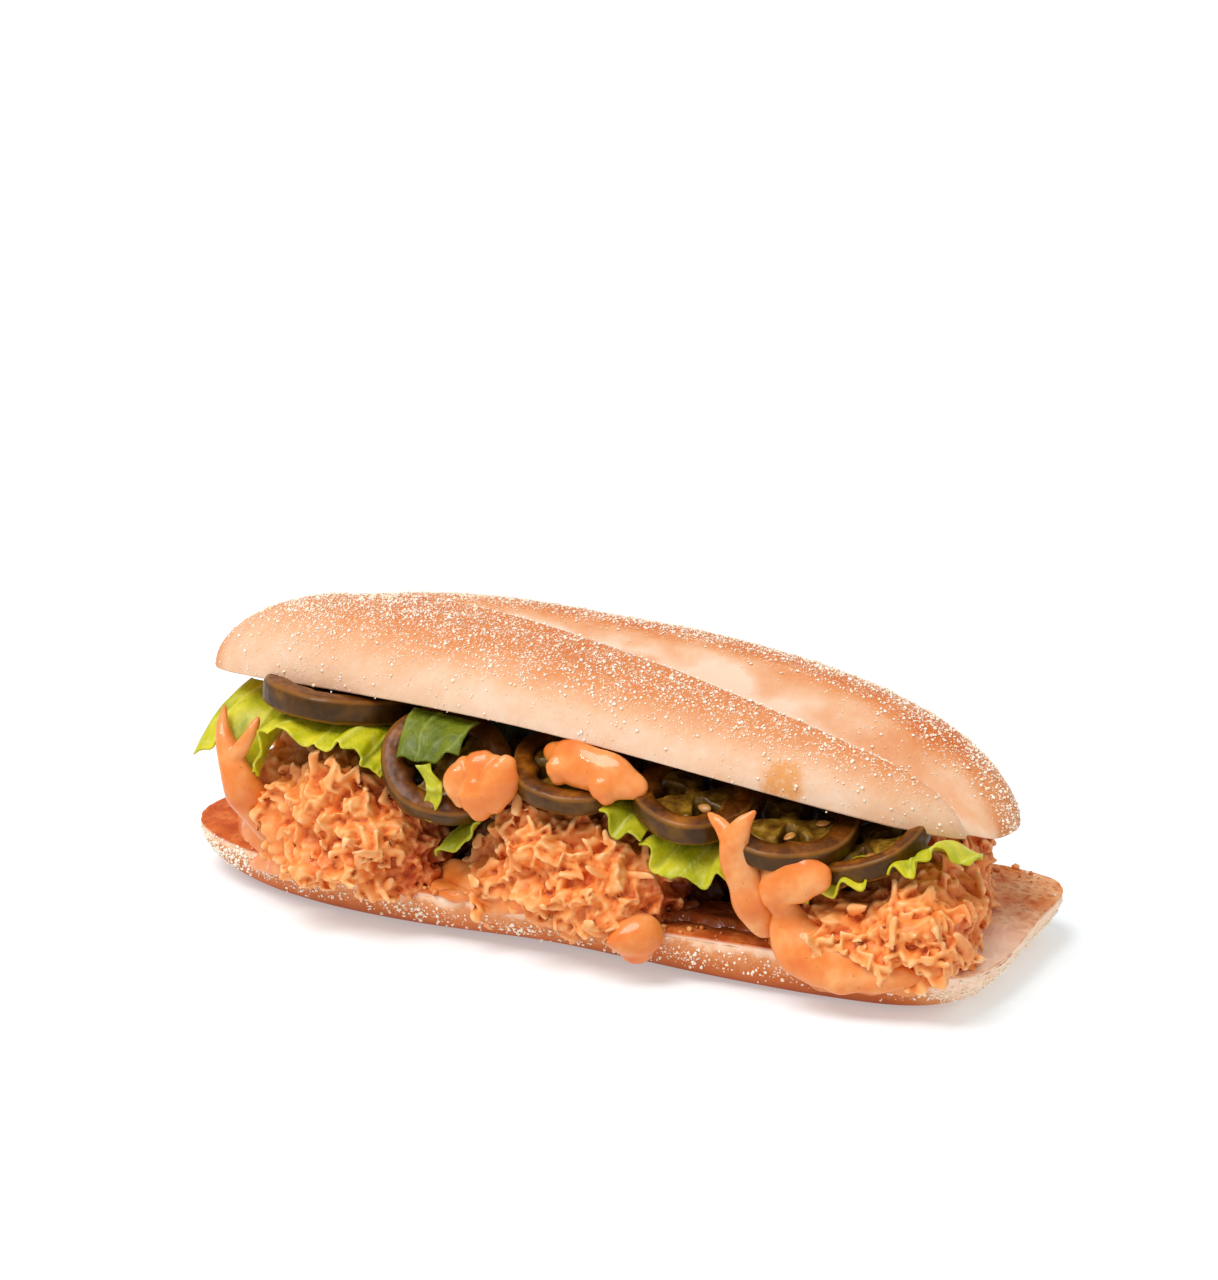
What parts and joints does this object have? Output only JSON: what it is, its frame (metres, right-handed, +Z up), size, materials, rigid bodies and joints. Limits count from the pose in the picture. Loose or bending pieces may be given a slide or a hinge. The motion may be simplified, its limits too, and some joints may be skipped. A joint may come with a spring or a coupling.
{
  "type": "submarine sandwich",
  "caption": "Long split and scored bread roll filled with crispy fried pieces, lettuce, pickled pepper rings and sauce.",
  "frame": {"origin": "centre of the bounding box's bottom, on the surface that the roll rests on", "axes": "+X along the roll to its nearer end in the picture, -Y towards the side that shows its fillings, +Z up"},
  "size_m": [0.2018, 0.086, 0.0699],
  "materials": {
    "bottom_bun": "baked crust, toasted and rough on the cut face",
    "top_bun": "baked crust dusted with coarse semolina",
    "pepper_ring_1": "pickled pepper, wet",
    "pepper_ring_2": "pickled pepper, wet",
    "pepper_ring_3": "pickled pepper, wet",
    "pepper_ring_4": "pickled pepper, wet",
    "pepper_ring_5": "pickled pepper, wet",
    "pepper_ring_6": "pickled pepper, wet",
    "pepper_ring_7": "pickled pepper, wet",
    "pepper_ring_8": "pickled pepper, wet",
    "chicken_left": "fried flaky batter",
    "chicken_middle": "fried flaky batter",
    "chicken_right": "fried flaky batter",
    "lettuce_1": "fresh leaf, slightly waxy",
    "lettuce_2": "fresh leaf, slightly waxy",
    "lettuce_3": "fresh leaf, slightly waxy",
    "lettuce_4": "fresh leaf, slightly waxy",
    "lettuce_5": "fresh leaf, slightly waxy",
    "lettuce_6": "fresh leaf, slightly waxy",
    "lettuce_7": "fresh leaf, slightly waxy",
    "lettuce_8": "fresh leaf, slightly waxy",
    "lettuce_9": "fresh leaf, slightly waxy",
    "lettuce_10": "fresh leaf, slightly waxy",
    "sauce_left": "thick creamy sauce, wet",
    "sauce_blob": "thick creamy sauce, wet",
    "sauce_under_crown": "thick creamy sauce, wet",
    "sauce_pool": "thick creamy sauce, wet",
    "sauce_drip": "thick creamy sauce, wet",
    "sauce_stream": "thick creamy sauce, wet",
    "sauce_right": "thick creamy sauce, wet"
  },
  "bodies": {
    "root": {"bottom_bun": "bottom_bun", "top_bun": "top_bun", "pepper_ring_1": "pepper_ring_1", "pepper_ring_2": "pepper_ring_2", "pepper_ring_3": "pepper_ring_3", "pepper_ring_4": "pepper_ring_4", "pepper_ring_5": "pepper_ring_5", "pepper_ring_6": "pepper_ring_6", "pepper_ring_7": "pepper_ring_7", "pepper_ring_8": "pepper_ring_8", "chicken_left": "chicken_left", "chicken_middle": "chicken_middle", "chicken_right": "chicken_right", "lettuce_1": "lettuce_1", "lettuce_2": "lettuce_2", "lettuce_3": "lettuce_3", "lettuce_4": "lettuce_4", "lettuce_5": "lettuce_5", "lettuce_6": "lettuce_6", "lettuce_7": "lettuce_7", "lettuce_8": "lettuce_8", "lettuce_9": "lettuce_9", "lettuce_10": "lettuce_10", "sauce_left": "sauce_left", "sauce_blob": "sauce_blob", "sauce_under_crown": "sauce_under_crown", "sauce_pool": "sauce_pool", "sauce_drip": "sauce_drip", "sauce_stream": "sauce_stream", "sauce_right": "sauce_right"}
  },
  "joints": []
}
